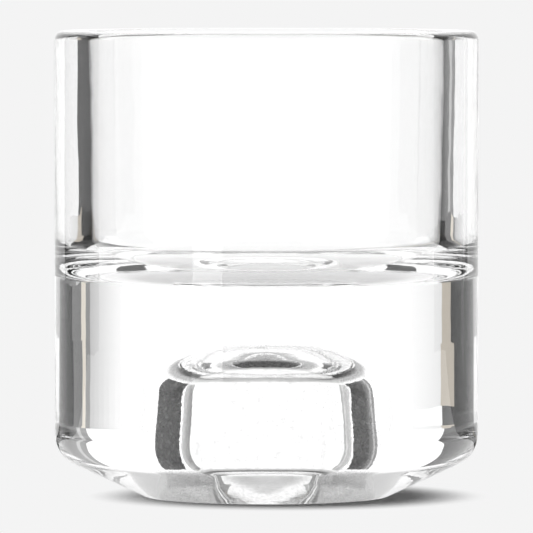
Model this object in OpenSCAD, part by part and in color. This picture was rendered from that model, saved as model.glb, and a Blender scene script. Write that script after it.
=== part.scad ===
// Reversible candle holder pressed from clear glass, in one piece.
// A wide cup in the top takes a tealight. The bevelled foot has a round
// socket in its underside, which takes a taper candle when the holder is
// stood on its rim. The axis is Z and the foot rests on z = 0.
// The profile is a list of corners [radius, height, rounding], turned once
// round the axis.

/* [Body] */
// Outside diameter of the round wall (mm)
body_d = 60; // [40:0.5:100]
// Overall height, foot to rim (mm)
body_h = 65.9; // [45:0.1:110]
// Rounding of the rim on its outer side (mm)
rim_outer_round = 1.2; // [0.3:0.1:3]
// Rounding of the rim on its inner side (mm)
rim_inner_round = 1.0; // [0.3:0.1:3]

/* [Foot] */
// Outside diameter of the flat ring it stands on (mm)
foot_d = 34.6; // [28:0.2:50]
// Height of the sloping bevel between foot and wall (mm)
bevel_h = 5.9; // [2:0.1:15]
// Rounding where the bevel meets the wall (mm)
shoulder_round = 4.8; // [0.5:0.1:8]
// Rounding of the foot's outer edge (mm)
foot_edge_round = 0.5; // [0.1:0.1:2]

/* [Tealight cup] */
// Inside diameter of the cup at the rim (mm)
cup_top_d = 50.4; // [40:0.2:90]
// Inside diameter of the cup at its floor (mm)
cup_floor_d = 49.2; // [40:0.2:90]
// Height of the middle of the cup's floor above the foot (mm)
cup_floor_z = 30; // [15:0.1:80]
// How far the floor's edge stands above its middle (mm)
cup_floor_dish = 0.9; // [0.1:0.05:4]
// Diameter where the dished floor turns level (mm)
cup_level_d = 24; // [10:0.5:30]
// Rounding where the dished floor turns level (mm)
cup_level_round = 50; // [10:1:80]
// Rounding between the cup's floor and wall (mm)
cup_floor_round = 6.3; // [0.5:0.1:8]

/* [Candle socket] */
// Diameter of the socket at its mouth in the foot (mm)
socket_mouth_d = 25.2; // [18:0.2:32]
// Diameter of the socket where its wall begins to lean in (mm)
socket_middle_d = 24.2; // [17:0.2:31]
// Height where the socket's wall begins to lean in (mm)
socket_middle_h = 9.5; // [3:0.1:30]
// Rounding where the socket's wall begins to lean in (mm)
socket_wall_round = 40; // [5:1:80]
// Diameter of the socket where its wall would meet the dome's flank (mm)
socket_top_d = 22.8; // [16:0.2:30]
// Height where the socket's wall would meet the dome's flank (mm)
socket_wall_h = 18.5; // [6:0.1:45]
// Depth of the socket, foot to the crown of its domed ceiling (mm)
socket_depth = 22.2; // [8:0.1:50]
// Diameter where the dome's flanks would meet its crown (mm)
socket_crown_d = 11; // [6:0.2:24]
// Rounding between the socket's wall and its dome (mm)
socket_top_round = 6; // [0.5:0.1:9]
// Radius of the domed crown (mm)
socket_crown_round = 8; // [3:0.1:20]
// Rounding of the socket's mouth (mm)
socket_mouth_round = 0.8; // [0.1:0.1:2]

/* [Hidden] */
glass = [0.93, 0.96, 0.96, 0.45];
arc_steps = 12;
$fn = 96;

body_r = body_d / 2;
foot_r = foot_d / 2;
cup_top_r = cup_top_d / 2;
cup_floor_r = cup_floor_d / 2;
cup_edge_z = cup_floor_z + cup_floor_dish;
cup_level_r = cup_level_d / 2;
socket_mouth_r = socket_mouth_d / 2;
socket_middle_r = socket_middle_d / 2;
socket_top_r = socket_top_d / 2;
socket_crown_r = socket_crown_d / 2;

// The profile in order: from the crown of the socket's dome down its wall,
// out along the foot, up the outside, over the rim and down to the cup's
// floor.
corners = [
    [0, socket_depth, 0],
    [socket_crown_r, socket_depth, socket_crown_round],
    [socket_top_r, socket_wall_h, socket_top_round],
    [socket_middle_r, socket_middle_h, socket_wall_round],
    [socket_mouth_r, 0, socket_mouth_round],
    [foot_r, 0, foot_edge_round],
    [body_r, bevel_h, shoulder_round],
    [body_r, body_h, rim_outer_round],
    [cup_top_r, body_h, rim_inner_round],
    [cup_floor_r, cup_edge_z, cup_floor_round],
    [cup_level_r, cup_floor_z, cup_level_round],
    [0, cup_floor_z, 0]
];

function unit(v) = v / norm(v);
function xy(p) = [p[0], p[1]];
function heading(v) = atan2(v[1], v[0]);
// Smallest signed turn between two headings
function turn(a, b) = let (d = b - a) d > 180 ? d - 360 : d < -180 ? d + 360 : d;

// Arc that rounds corner p between its neighbours a and b
function rounded(a, p, b, r) =
    let (
        u = unit(a - p),
        v = unit(b - p),
        half = acos(u * v) / 2,
        centre = p + unit(u + v) * r / sin(half),
        start = heading(p + u * r / tan(half) - centre),
        sweep = turn(start, heading(p + v * r / tan(half) - centre))
    )
    [for (i = [0 : arc_steps])
        centre + r * [cos(start + sweep * i / arc_steps), sin(start + sweep * i / arc_steps)]];

// Outline through the corners, each one rounded by its own radius
function outline(c) = [
    for (i = [0 : len(c) - 1])
        each c[i][2] == 0 ? [xy(c[i])] : rounded(xy(c[i - 1]), xy(c[i]), xy(c[i + 1]), c[i][2])
];

// The whole holder: pressed glass, one piece, no seam and no joint
module glass_body() {
    color(glass)
        rotate_extrude()
            polygon(outline(corners));
}

glass_body();
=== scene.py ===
"""A clear pressed-glass candle holder, standing on its foot on a pale studio floor.

The holder is one piece of glass, turned from the same outline as the CAD part.
Everything else here is the studio: paper floor, white surroundings, a lamp
overhead, and the black, grey and sand boards that a photographer stands beside
clear glass to draw its edges.
"""

import math

import bpy
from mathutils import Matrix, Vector, noise


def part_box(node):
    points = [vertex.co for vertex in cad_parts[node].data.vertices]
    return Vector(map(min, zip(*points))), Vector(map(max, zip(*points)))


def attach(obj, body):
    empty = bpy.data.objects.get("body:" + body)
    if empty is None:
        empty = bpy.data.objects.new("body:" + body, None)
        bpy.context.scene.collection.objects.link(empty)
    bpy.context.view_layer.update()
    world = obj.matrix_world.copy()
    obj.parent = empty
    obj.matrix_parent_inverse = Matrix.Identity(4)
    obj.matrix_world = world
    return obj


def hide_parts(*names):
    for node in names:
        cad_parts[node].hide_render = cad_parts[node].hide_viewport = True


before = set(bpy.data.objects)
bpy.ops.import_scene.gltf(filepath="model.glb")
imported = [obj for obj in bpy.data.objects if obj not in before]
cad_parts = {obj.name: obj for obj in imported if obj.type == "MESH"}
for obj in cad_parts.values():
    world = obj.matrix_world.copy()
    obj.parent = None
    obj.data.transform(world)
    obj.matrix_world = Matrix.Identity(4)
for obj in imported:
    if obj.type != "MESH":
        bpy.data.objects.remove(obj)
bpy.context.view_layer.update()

MM = 0.001
NODE = "glass_body"

# ---------------------------------------------------------------- sizes (mm)
node_low, node_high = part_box(NODE)
BODY_R = (node_high.x - node_low.x) / 2 / MM
BODY_H = (node_high.z - node_low.z) / MM

RIM_OUTER_ROUND = 1.2
RIM_INNER_ROUND = 1.0
FOOT_R = 17.3
BEVEL_H = 5.9
SHOULDER_ROUND = 4.8
FOOT_EDGE_ROUND = 0.5
CUP_TOP_R = 25.2
CUP_FLOOR_R = 24.6
CUP_LEVEL_R = 12
CUP_FLOOR_Z = 30.0
CUP_EDGE_Z = 30.9
CUP_LEVEL_ROUND = 50
CUP_EDGE_ROUND = 6.3
SOCKET_MOUTH_R = 12.6
SOCKET_MIDDLE_R = 12.1
SOCKET_MIDDLE_H = 9.5
SOCKET_WALL_ROUND = 40
SOCKET_TOP_R = 11.4
SOCKET_WALL_H = 18.5
SOCKET_DEPTH = 22.2
SOCKET_CROWN_R = 5.5
SOCKET_TOP_ROUND = 6.0
SOCKET_CROWN_ROUND = 8.0
SOCKET_MOUTH_ROUND = 0.8

# How far the pressed surfaces wander from the true outline (mm)
SOCKET_WAVE = 0.028
CUP_WAVE = 0.006
FOOT_WAVE = 0.025
WALL_WAVE = 0.002
# How closely its slow and its quick swells are packed (noise scales, per mm),
# what heights are scaled by to stretch the slow ones, the quick ones' share, and
# where in the noise the quick ones are taken from
SLOW_SCALE = 0.16
SLOW_STRETCH = 0.6
QUICK_SCALE = 0.45
QUICK_SHARE = 0.35
QUICK_FROM = Vector((7, 3, 5))

# Relief too fine for the mesh, swells and a skin on them: strength, depth (m)
# and how closely it is packed (a noise scale, per metre)
SWELL = 0.12
SWELL_DEPTH = 0.0002
SWELL_SCALE = 180
SKIN = 0.40
SKIN_DEPTH = 0.00002
SKIN_SCALE = 900
# Heights are scaled by this before the swells are drawn, which stretches them
# upright
DRAWN_OUT = 0.5
RELIEF_OCTAVES = 2
# How much of the light the film of handling on the surface scatters, at most,
# and the noise levels between which the film goes from none to that
HAZE = 0.22
HAZE_SCALE = 1500
HAZE_OCTAVES = 8
HAZE_FROM = 0.47
HAZE_FULL = 0.75
# The socket takes all of the skin and the film. The other surfaces take them in
# proportion to the square of their waviness, but never less than POLISHED.
PRESSED = "pressed"
POLISHED = 0.04

SEGMENTS = 288
ARC_STEP = math.radians(4)
ROW_LENGTH = 1.2

IOR = 1.5

# Outline from the crown of the socket's dome, down its wall, out along the
# foot, up the outside, over the rim and in to the middle of the cup's floor.
# Each corner is radius, height, rounding and waviness.
CORNERS = [
    (0, SOCKET_DEPTH, 0, SOCKET_WAVE),
    (SOCKET_CROWN_R, SOCKET_DEPTH, SOCKET_CROWN_ROUND, SOCKET_WAVE),
    (SOCKET_TOP_R, SOCKET_WALL_H, SOCKET_TOP_ROUND, SOCKET_WAVE),
    (SOCKET_MIDDLE_R, SOCKET_MIDDLE_H, SOCKET_WALL_ROUND, SOCKET_WAVE),
    (SOCKET_MOUTH_R, 0, SOCKET_MOUTH_ROUND, SOCKET_WAVE),
    (FOOT_R, 0, FOOT_EDGE_ROUND, FOOT_WAVE),
    (BODY_R, BEVEL_H, SHOULDER_ROUND, WALL_WAVE),
    (BODY_R, BODY_H, RIM_OUTER_ROUND, WALL_WAVE),
    (CUP_TOP_R, BODY_H, RIM_INNER_ROUND, CUP_WAVE),
    (CUP_FLOOR_R, CUP_EDGE_Z, CUP_EDGE_ROUND, CUP_WAVE),
    (CUP_LEVEL_R, CUP_FLOOR_Z, CUP_LEVEL_ROUND, CUP_WAVE),
    (0, CUP_FLOOR_Z, 0, CUP_WAVE),
]


# ------------------------------------------------------------------ geometry
def rounded(before, corner, after, radius):
    """Points of the arc that rounds a corner between its two neighbours."""
    to_before = (before - corner).normalized()
    to_after = (after - corner).normalized()
    half = to_before.angle(to_after) / 2
    centre = corner + (to_before + to_after).normalized() * radius / math.sin(half)
    first = corner + to_before * radius / math.tan(half) - centre
    last = corner + to_after * radius / math.tan(half) - centre
    start = math.atan2(first.y, first.x)
    sweep = math.atan2(first.x * last.y - first.y * last.x, first.dot(last))
    steps = max(3, math.ceil(abs(sweep) / ARC_STEP))
    turns = [start + sweep * i / steps for i in range(steps + 1)]
    return [centre + radius * Vector((math.cos(a), math.sin(a))) for a in turns]


def outline():
    """(radius, height, waviness) rows along the rounded outline, at most ROW_LENGTH apart."""
    flat = [Vector(c[:2]) for c in CORNERS]
    points = []
    for i, (_, _, radius, wave) in enumerate(CORNERS):
        arc = rounded(flat[i - 1], flat[i], flat[i + 1], radius) if radius else [flat[i]]
        points += [(p.x, p.y, wave) for p in arc]
    rows = [points[0]]
    for a, b in zip(points, points[1:]):
        count = math.ceil(math.dist(a[:2], b[:2]) / ROW_LENGTH)
        rows += [tuple(p + (q - p) * i / count for p, q in zip(a, b)) for i in range(1, count + 1)]
    return rows


def inward(rows, i):
    """Unit normal of the outline at row i, pointing into the glass."""
    ahead = Vector(rows[min(i + 1, len(rows) - 1)][:2])
    behind = Vector(rows[max(i - 1, 0)][:2])
    along = (ahead - behind).normalized()
    return Vector((-along.y, along.x))


def ripple(place, depth):
    """Slow swells of pressed glass: how far a point sinks into the glass (mm), 0 to depth."""
    slow = noise.noise(Vector((place.x, place.y, place.z * SLOW_STRETCH)) * SLOW_SCALE)
    quick = noise.noise(place * QUICK_SCALE + QUICK_FROM)
    return depth * (0.5 + 0.5 * max(-1, min(1, slow + QUICK_SHARE * quick)))


def lathe(rows):
    """Vertices (m), faces and the waviness at each vertex, for the outline turned once."""
    verts = []
    waves = []
    rings = []
    for i, (radius, height, wave) in enumerate(rows):
        normal = inward(rows, i)
        ring = []
        for j in range(SEGMENTS if radius else 1):
            a = 2 * math.pi * j / SEGMENTS
            place = Vector((radius * math.cos(a), radius * math.sin(a), height))
            sink = ripple(place, wave)
            r = radius + normal.x * sink if radius else 0
            ring.append(len(verts))
            verts.append(Vector((r * math.cos(a), r * math.sin(a), height + normal.y * sink)) * MM)
            waves.append(wave)
        rings.append(ring)
    faces = []
    for lower, upper in zip(rings, rings[1:]):
        for j in range(SEGMENTS):
            k = (j + 1) % SEGMENTS
            if len(lower) == 1:
                faces.append((lower[0], upper[k], upper[j]))
            elif len(upper) == 1:
                faces.append((lower[j], lower[k], upper[0]))
            else:
                faces.append((lower[j], lower[k], upper[k], upper[j]))
    return verts, faces, waves


def mesh_object(name, verts, faces, material, smooth=False):
    """A mesh of one material, linked into the scene."""
    mesh = bpy.data.meshes.new(name)
    mesh.from_pydata(verts, [], faces)
    mesh.materials.append(material)
    for face in mesh.polygons:
        face.use_smooth = smooth
    mesh.update()
    piece = bpy.data.objects.new(name, mesh)
    bpy.context.scene.collection.objects.link(piece)
    return piece


# ----------------------------------------------------------------- materials
def new_material(name):
    """A new material, its nodes, its links and its Principled shader."""
    material = bpy.data.materials.new(name)
    material.use_nodes = True
    nodes = material.node_tree.nodes
    return material, nodes, material.node_tree.links, nodes["Principled BSDF"]


def maths(nodes, links, operation, a, b=None, c=None):
    """A Math node; each input is a number or another node's output."""
    node = nodes.new("ShaderNodeMath")
    node.operation = operation
    for i, value in enumerate((a, b, c)):
        if isinstance(value, (int, float)):
            node.inputs[i].default_value = value
        elif value:
            links.new(value, node.inputs[i])
    return node.outputs[0]


def noise_texture(nodes, links, place, scale, detail):
    """Noise at a place in the object's own space."""
    texture = nodes.new("ShaderNodeTexNoise")
    texture.inputs["Scale"].default_value = scale
    texture.inputs["Detail"].default_value = detail
    links.new(place, texture.inputs["Vector"])
    return texture.outputs["Fac"]


def bump(nodes, links, height, strength, distance, normal=None):
    """The normal with one more layer of relief on it."""
    node = nodes.new("ShaderNodeBump")
    node.inputs["Strength"].default_value = strength
    node.inputs["Distance"].default_value = distance
    links.new(height, node.inputs["Height"])
    if normal:
        links.new(normal, node.inputs["Normal"])
    return node.outputs["Normal"]


def clear_glass():
    """Pressed glass: clear, with swells from the mould, a fine skin and a faint film on them."""
    material, nodes, links, shader = new_material("clear_glass")
    shader.inputs["Base Color"].default_value = (1, 1, 1, 1)
    shader.inputs["Roughness"].default_value = 0.0
    shader.inputs["IOR"].default_value = IOR
    place = nodes.new("ShaderNodeTexCoord").outputs["Object"]
    drawn = nodes.new("ShaderNodeVectorMath")
    drawn.operation = "MULTIPLY"
    links.new(place, drawn.inputs[0])
    drawn.inputs[1].default_value = (1, 1, DRAWN_OUT)
    swell = noise_texture(nodes, links, drawn.outputs["Vector"], SWELL_SCALE, RELIEF_OCTAVES)
    share = nodes.new("ShaderNodeAttribute")
    share.attribute_name = PRESSED
    pressed = share.outputs["Fac"]
    grain = noise_texture(nodes, links, place, SKIN_SCALE, RELIEF_OCTAVES)
    skin = maths(nodes, links, "MULTIPLY", grain, pressed)
    normal = bump(nodes, links, swell, SWELL, SWELL_DEPTH)
    normal = bump(nodes, links, skin, SKIN, SKIN_DEPTH, normal)
    links.new(normal, shader.inputs["Normal"])
    smear = noise_texture(nodes, links, place, HAZE_SCALE, HAZE_OCTAVES)
    haze = nodes.new("ShaderNodeMapRange")
    haze.inputs["From Min"].default_value = HAZE_FROM
    haze.inputs["From Max"].default_value = HAZE_FULL
    haze.inputs["To Min"].default_value = 0.0
    haze.inputs["To Max"].default_value = HAZE
    links.new(smear, haze.inputs["Value"])
    film = maths(nodes, links, "MULTIPLY", haze.outputs["Result"], pressed)
    links.new(maths(nodes, links, "SUBTRACT", 1.0, film), shader.inputs["Transmission Weight"])
    return material


def glow(name, strength=1):
    """A card that shows its own tone, whatever light falls on it."""
    material, nodes, links, shader = new_material(name)
    shader.inputs["Base Color"].default_value = (0, 0, 0, 1)
    shader.inputs["Specular IOR Level"].default_value = 0
    shader.inputs["Emission Strength"].default_value = strength
    tone = nodes.new("ShaderNodeVertexColor")
    tone.layer_name = "tone"
    links.new(tone.outputs["Color"], shader.inputs["Emission Color"])
    return material


# ---------------------------------------------------------------- the holder
def glass_body():
    """The holder, with its share of the pressed skin and film marked at each vertex."""
    verts, faces, waves = lathe(outline())
    piece = mesh_object("holder_glass", verts, faces, clear_glass(), smooth=True)
    pressed = piece.data.attributes.new(PRESSED, "FLOAT", "POINT").data
    for point, wave in zip(pressed, waves):
        point.value = max(POLISHED, (wave / SOCKET_WAVE) ** 2)
    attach(piece, "root")
    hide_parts(NODE)


# ---------------------------------------------------------------- the studio
# The camera in front of the holder, and how wide it sees at the axis (m)
CAMERA_DISTANCE = 1.083
CAMERA_HEIGHT = 0.0804
AIM_HEIGHT = 0.0325
FRAME_WIDTH = 0.0755
# Width of its film (mm)
FILM_WIDTH = 36

# How far from the axis the boards stand, how high they are, and how far the
# cards lie above the floor (mm)
FLAG_REACH = 400
FLAG_HEIGHT = 280
CARD_LIFT = 0.15
# Colours of the pale line and of the sand board
PALE_LINE = (0.80, 0.75, 0.66)
SAND = (0.52, 0.47, 0.40)


def grey(level):
    """A neutral colour."""
    return (level, level, level)


def card(name, verts, tones, strength=1):
    """A strip through pairs of points, toned pair by pair, seen only in and through the glass.

    The camera doesn't see it, and it gives no light or shade.
    """
    faces = [(2 * i, 2 * i + 2, 2 * i + 3, 2 * i + 1) for i in range(len(tones) - 1)]
    piece = mesh_object(name, verts, faces, glow(name, strength))
    colours = piece.data.color_attributes.new("tone", "FLOAT_COLOR", "POINT").data
    for i, tone in enumerate(tones):
        for point in colours[2 * i:2 * i + 2]:
            point.color = (*tone, 1)
    piece.visible_camera = False
    piece.visible_diffuse = False
    piece.visible_shadow = False
    return piece


def spread(start, end, steps=6):
    """Evenly spaced values from start to end; both may be numbers or colours."""
    return [start + (end - start) * i / steps for i in range(steps + 1)]


def flag(name, side, bearings, heights, tone, fade=None, reach=FLAG_REACH):
    """An upright curved board beside the holder, between two bearings from the back (degrees).

    Its tone runs from tone at the first bearing to fade at the second.
    """
    verts = []
    for bearing in spread(*bearings):
        x = side * reach * math.sin(math.radians(bearing))
        y = reach * math.cos(math.radians(bearing))
        verts += [Vector((x, y, height)) * MM for height in heights]
    return card(name, verts, spread(Vector(tone), Vector(fade or tone)))


# Where the search for a sight line starts, as a share of the radius, and how
# often it halves what is left
ALMOST_EDGE = 0.9999
HALVINGS = 40


def bend_offset(bend):
    """How far off the axis a sight line passes that the solid glass turns by bend degrees (mm)."""
    near = 0.0
    far = BODY_R * ALMOST_EDGE
    for _ in range(HALVINGS):
        middle = (near + far) / 2
        turn = 2 * (math.asin(middle / BODY_R) - math.asin(middle / BODY_R / IOR))
        if math.degrees(turn) < bend:
            near = middle
        else:
            far = middle
    return near


def bent_line(side, bend, reach):
    """Where that sight line, after the glass, is reach from the axis (mm)."""
    offset = bend_offset(bend)
    along = math.sqrt(reach ** 2 - offset ** 2)
    a = math.radians(bend)
    x = along * math.sin(a) - offset * math.cos(a)
    y = along * math.cos(a) + offset * math.sin(a)
    return Vector((side * x, y, CARD_LIFT)) * MM


def floor_card(name, side, bends, tone, fade=None, reach=(60, FLAG_REACH)):
    """A card on the floor between two bent sight lines, so that its edges show upright.

    The bends are in degrees. reach is the card's nearest and farthest distance from the axis.
    """
    verts = []
    for bend in spread(*bends):
        verts += [bent_line(side, bend, distance) for distance in reach]
    card(name, verts, spread(Vector(tone), Vector(fade or tone)))


# The boards stand in two storeys (mm): the cup's wall shows the upper one, the
# solid half the lower. The near pair shows only as a reflection on the outer wall.
STOREY = 11.5
LOW = (CARD_LIFT, STOREY)
HIGH = (STOREY, FLAG_HEIGHT)
NEAR_REACH = 100
NEAR = (CARD_LIFT, 27)


def flags():
    """Black, grey and sand boards on both sides, and cards that carry them along the floor."""
    flag("flag_right_edge", 1, (42.5, 46.5), HIGH, grey(0.30))
    flag("flag_right_line", 1, (46.5, 49.2), HIGH, grey(0.58))
    flag("flag_right_grey", 1, (49.2, 58), HIGH, grey(0.27), grey(0.10))
    flag("flag_right_black", 1, (58, 80), HIGH, grey(0.06))
    flag("flag_right_low_fade", 1, (28, 40.5), LOW, grey(1.0), grey(0.55))
    flag("flag_right_low_edge", 1, (40.5, 42.8), LOW, grey(0.28))
    flag("flag_right_low_line", 1, (42.8, 45.5), LOW, PALE_LINE)
    flag("flag_right_low_grey", 1, (45.5, 52), LOW, grey(0.2))
    flag("flag_right_low_black", 1, (52, 80), LOW, grey(0.02))
    flag("flag_left_black", -1, (41, 80), HIGH, grey(0.08), grey(0.05))
    flag("flag_left_low_fade", -1, (28, 40), LOW, grey(1.0), grey(0.82))
    flag("flag_left_low_sand", -1, (40, 45), LOW, SAND)
    flag("flag_left_low_black", -1, (45, 80), LOW, grey(0.02))
    floor_card("card_right_fade", 1, (31, 44), grey(1.0), grey(0.55), reach=(34, FLAG_REACH))
    floor_card("card_right_edge", 1, (44, 46.5), grey(0.28))
    floor_card("card_right_line", 1, (46.5, 48.5), PALE_LINE)
    floor_card("card_right_grey", 1, (48.5, 55), grey(0.2))
    floor_card("card_right_black", 1, (55, 74), grey(0.02))
    floor_card("card_left_fade", -1, (31, 42.8), grey(1.0), grey(0.82), reach=(200, FLAG_REACH))
    floor_card("card_left_sand", -1, (42.8, 51), SAND, reach=(200, FLAG_REACH))
    floor_card("card_left_near", -1, (43.5, 51), grey(0.04), reach=(60, 200))
    floor_card("card_left_black", -1, (51, 74), grey(0.02))
    for name, side in (("flag_left_near", -1), ("flag_right_near", 1)):
        near = flag(name, side, (44, 60), NEAR, grey(0.5), grey(0.0), reach=NEAR_REACH)
        near.visible_transmission = False


# The strip light: distance and height (mm), bearings from the front (degrees)
STRIP_REACH = 150
STRIP_HEIGHT = 75
STRIP_BEARINGS = (21.2, 36.6)
STRIP_GLOW = 3.8


def strip_light():
    """A narrow strip light beside the camera, seen only as a faint upright sheen on the wall."""
    verts = []
    for bearing in STRIP_BEARINGS:
        x = -STRIP_REACH * math.sin(math.radians(bearing))
        y = -STRIP_REACH * math.cos(math.radians(bearing))
        verts += [Vector((x, y, CARD_LIFT)) * MM, Vector((x, y, STRIP_HEIGHT)) * MM]
    strip = card("strip", verts, [grey(1), grey(1)], STRIP_GLOW)
    strip.visible_transmission = False


# Half the floor's width (m), the paper's whiteness, how brightly the paper glows
# with painted light that only the glass sees, how much of what the glass shows of it
# is that painted glow, and the brightness of plain paper and backdrop
FLOOR_SIZE = 9.0
FLOOR_WHITE = 0.9
FLOOR_PAINTED_GLOW = 1.12
PAINTED_GLOW_SHARE = 0.6
BACKDROP = 0.905
# The floor lies this little below the foot, so that the two don't meet (mm)
FLOOR_DROP = 0.02
# The middle of the contact shadow, and where it starts to fade and has gone (mm)
SHADOW_CENTRE = (3, -1, 0)
SHADOW_REACH = (17, 29)


def shadow_fade(nodes, links):
    """0 close round the foot, 1 beyond it: the shadow ends there and the paper is plain."""
    away = nodes.new("ShaderNodeVectorMath")
    away.operation = "DISTANCE"
    links.new(nodes.new("ShaderNodeTexCoord").outputs["Object"], away.inputs[0])
    away.inputs[1].default_value = Vector(SHADOW_CENTRE) * MM
    fade = nodes.new("ShaderNodeMapRange")
    fade.interpolation_type = "SMOOTHSTEP"
    fade.inputs["From Min"].default_value = SHADOW_REACH[0] * MM
    fade.inputs["From Max"].default_value = SHADOW_REACH[1] * MM
    links.new(away.outputs["Value"], fade.inputs["Value"])
    return fade.outputs["Result"]


def floor_material():
    """Matt white paper that, seen in the glass, also glows a little with painted light of its own,
    which lightens the shadows seen through it.
    """
    material, nodes, links, shader = new_material("floor_paper")
    shader.inputs["Base Color"].default_value = (*grey(FLOOR_WHITE), 1)
    shader.inputs["Roughness"].default_value = 1
    shader.inputs["Specular IOR Level"].default_value = 0
    ray = nodes.new("ShaderNodeLightPath").outputs
    in_glass = maths(nodes, links, "MAXIMUM", ray["Is Transmission Ray"], ray["Is Glossy Ray"])
    # Painted light: in the glass the paper partly shows this glow of its own instead of lamp
    # light, so the shadows seen through the glass are lighter.
    lit = nodes.new("ShaderNodeEmission")
    lit.inputs["Strength"].default_value = FLOOR_PAINTED_GLOW
    mix = nodes.new("ShaderNodeMixShader")
    links.new(maths(nodes, links, "MULTIPLY", in_glass, PAINTED_GLOW_SHARE), mix.inputs[0])
    links.new(shader.outputs[0], mix.inputs[1])
    links.new(lit.outputs[0], mix.inputs[2])
    plain = nodes.new("ShaderNodeEmission")
    plain.inputs["Strength"].default_value = BACKDROP
    faded = nodes.new("ShaderNodeMixShader")
    bare = maths(nodes, links, "MULTIPLY", shadow_fade(nodes, links), ray["Is Camera Ray"])
    links.new(bare, faded.inputs[0])
    links.new(mix.outputs[0], faded.inputs[1])
    links.new(plain.outputs[0], faded.inputs[2])
    links.new(faded.outputs[0], nodes["Material Output"].inputs["Surface"])
    return material


def floor():
    """A wide sheet of paper, just below the foot."""
    s = FLOOR_SIZE
    verts = [(-s, -s, 0), (s, -s, 0), (s, s, 0), (-s, s, 0)]
    paper = mesh_object("floor", verts, [(0, 1, 2, 3)], floor_material())
    paper.location.z = -FLOOR_DROP * MM


# Brightness of the studio by height: sine of the angle up, then level
STUDIO_LEVELS = [(0.60, 1.18), (0.72, 0.55), (0.80, 0.5), (0.90, 0.04)]
# Light that matt surfaces get: from all round, and from the lamp, which is as
# wide as KEY_SPREAD either side of KEY_FROM, with an edge softened by KEY_SOFT
# of that. THROUGH is the part of it that the glass lets by.
STUDIO_FILL = 0.16
KEY_FROM = (-0.10, 0.10, 1.0)
KEY_SPREAD = math.radians(26)
KEY_SOFT = 0.2
KEY_GLOW = 4.2
THROUGH = 0.05


# Where a Mix node keeps its two colours, and its result
MIX_FIRST = 6
MIX_SECOND = 7
MIX_RESULT = 2


def key_light(nodes, links, place, ray):
    """Light on matt surfaces: even fill, and one large soft lamp almost overhead.

    Hardly any of it comes through the glass, so the foot meets the paper in a dark line.
    """
    facing = nodes.new("ShaderNodeVectorMath")
    facing.operation = "DOT_PRODUCT"
    links.new(place, facing.inputs[0])
    facing.inputs[1].default_value = Vector(KEY_FROM).normalized()
    lamp = nodes.new("ShaderNodeMapRange")
    lamp.inputs["From Min"].default_value = math.cos(KEY_SPREAD * (1 + KEY_SOFT))
    lamp.inputs["From Max"].default_value = math.cos(KEY_SPREAD * (1 - KEY_SOFT))
    lamp.inputs["To Min"].default_value = STUDIO_FILL
    lamp.inputs["To Max"].default_value = KEY_GLOW
    links.new(facing.outputs["Value"], lamp.inputs["Value"])
    open_air = maths(nodes, links, "MULTIPLY_ADD", ray["Is Transmission Ray"], THROUGH - 1, 1.0)
    return maths(nodes, links, "MULTIPLY", lamp.outputs["Result"], open_air)


def colour_mix(nodes, links, share, first, second):
    """A Mix node for colours; second is another node's output or a fixed colour."""
    node = nodes.new("ShaderNodeMix")
    node.data_type = "RGBA"
    links.new(share, node.inputs["Factor"])
    links.new(first, node.inputs[MIX_FIRST])
    if isinstance(second, tuple):
        node.inputs[MIX_SECOND].default_value = second
    else:
        links.new(second, node.inputs[MIX_SECOND])
    return node.outputs[MIX_RESULT]


def studio_world():
    """White all round up to 37 degrees, grey above it and dark overhead."""
    world = bpy.data.worlds.new("studio")
    bpy.context.scene.world = world
    world.use_nodes = True
    nodes, links = world.node_tree.nodes, world.node_tree.links
    background = nodes["Background"]
    split = nodes.new("ShaderNodeSeparateXYZ")
    place = nodes.new("ShaderNodeTexCoord").outputs["Generated"]
    links.new(place, split.inputs[0])
    ramp = nodes.new("ShaderNodeValToRGB")
    links.new(split.outputs["Z"], ramp.inputs["Fac"])
    stops = ramp.color_ramp.elements
    while len(stops) < len(STUDIO_LEVELS):
        stops.new(0.5)
    for stop, (height, level) in zip(stops, STUDIO_LEVELS):
        stop.position = height
        stop.color = (*grey(level), 1)
    ray = nodes.new("ShaderNodeLightPath").outputs
    plain = (*grey(BACKDROP), 1)
    shown = colour_mix(nodes, links, ray["Is Camera Ray"], ramp.outputs["Color"], plain)
    matt = maths(nodes, links, "MINIMUM", ray["Diffuse Depth"], 1.0)
    lit = colour_mix(nodes, links, matt, shown, key_light(nodes, links, place, ray))
    links.new(lit, background.inputs["Color"])


def camera():
    """A long lens in front of the holder and a little above it, looking slightly down."""
    lens = bpy.data.cameras.new("camera")
    view = bpy.data.objects.new("camera", lens)
    eye = Vector((0, -CAMERA_DISTANCE, CAMERA_HEIGHT))
    look = Vector((0, 0, AIM_HEIGHT)) - eye
    view.location = eye
    view.rotation_euler = look.to_track_quat("-Z", "Y").to_euler()
    lens.sensor_width = FILM_WIDTH
    lens.lens = lens.sensor_width * look.length / FRAME_WIDTH
    lens.clip_start = 0.01
    lens.clip_end = 100
    bpy.context.scene.collection.objects.link(view)
    bpy.context.scene.camera = view


# Light passes in and out of the glass many times before it leaves
GLASS_BOUNCES = 24
GLOSSY_BOUNCES = 12

glass_body()
floor()
flags()
strip_light()
studio_world()
camera()
scene = bpy.context.scene
scene.view_settings.view_transform = "Standard"
scene.cycles.max_bounces = GLASS_BOUNCES
scene.cycles.transmission_bounces = GLASS_BOUNCES
scene.cycles.glossy_bounces = GLOSSY_BOUNCES
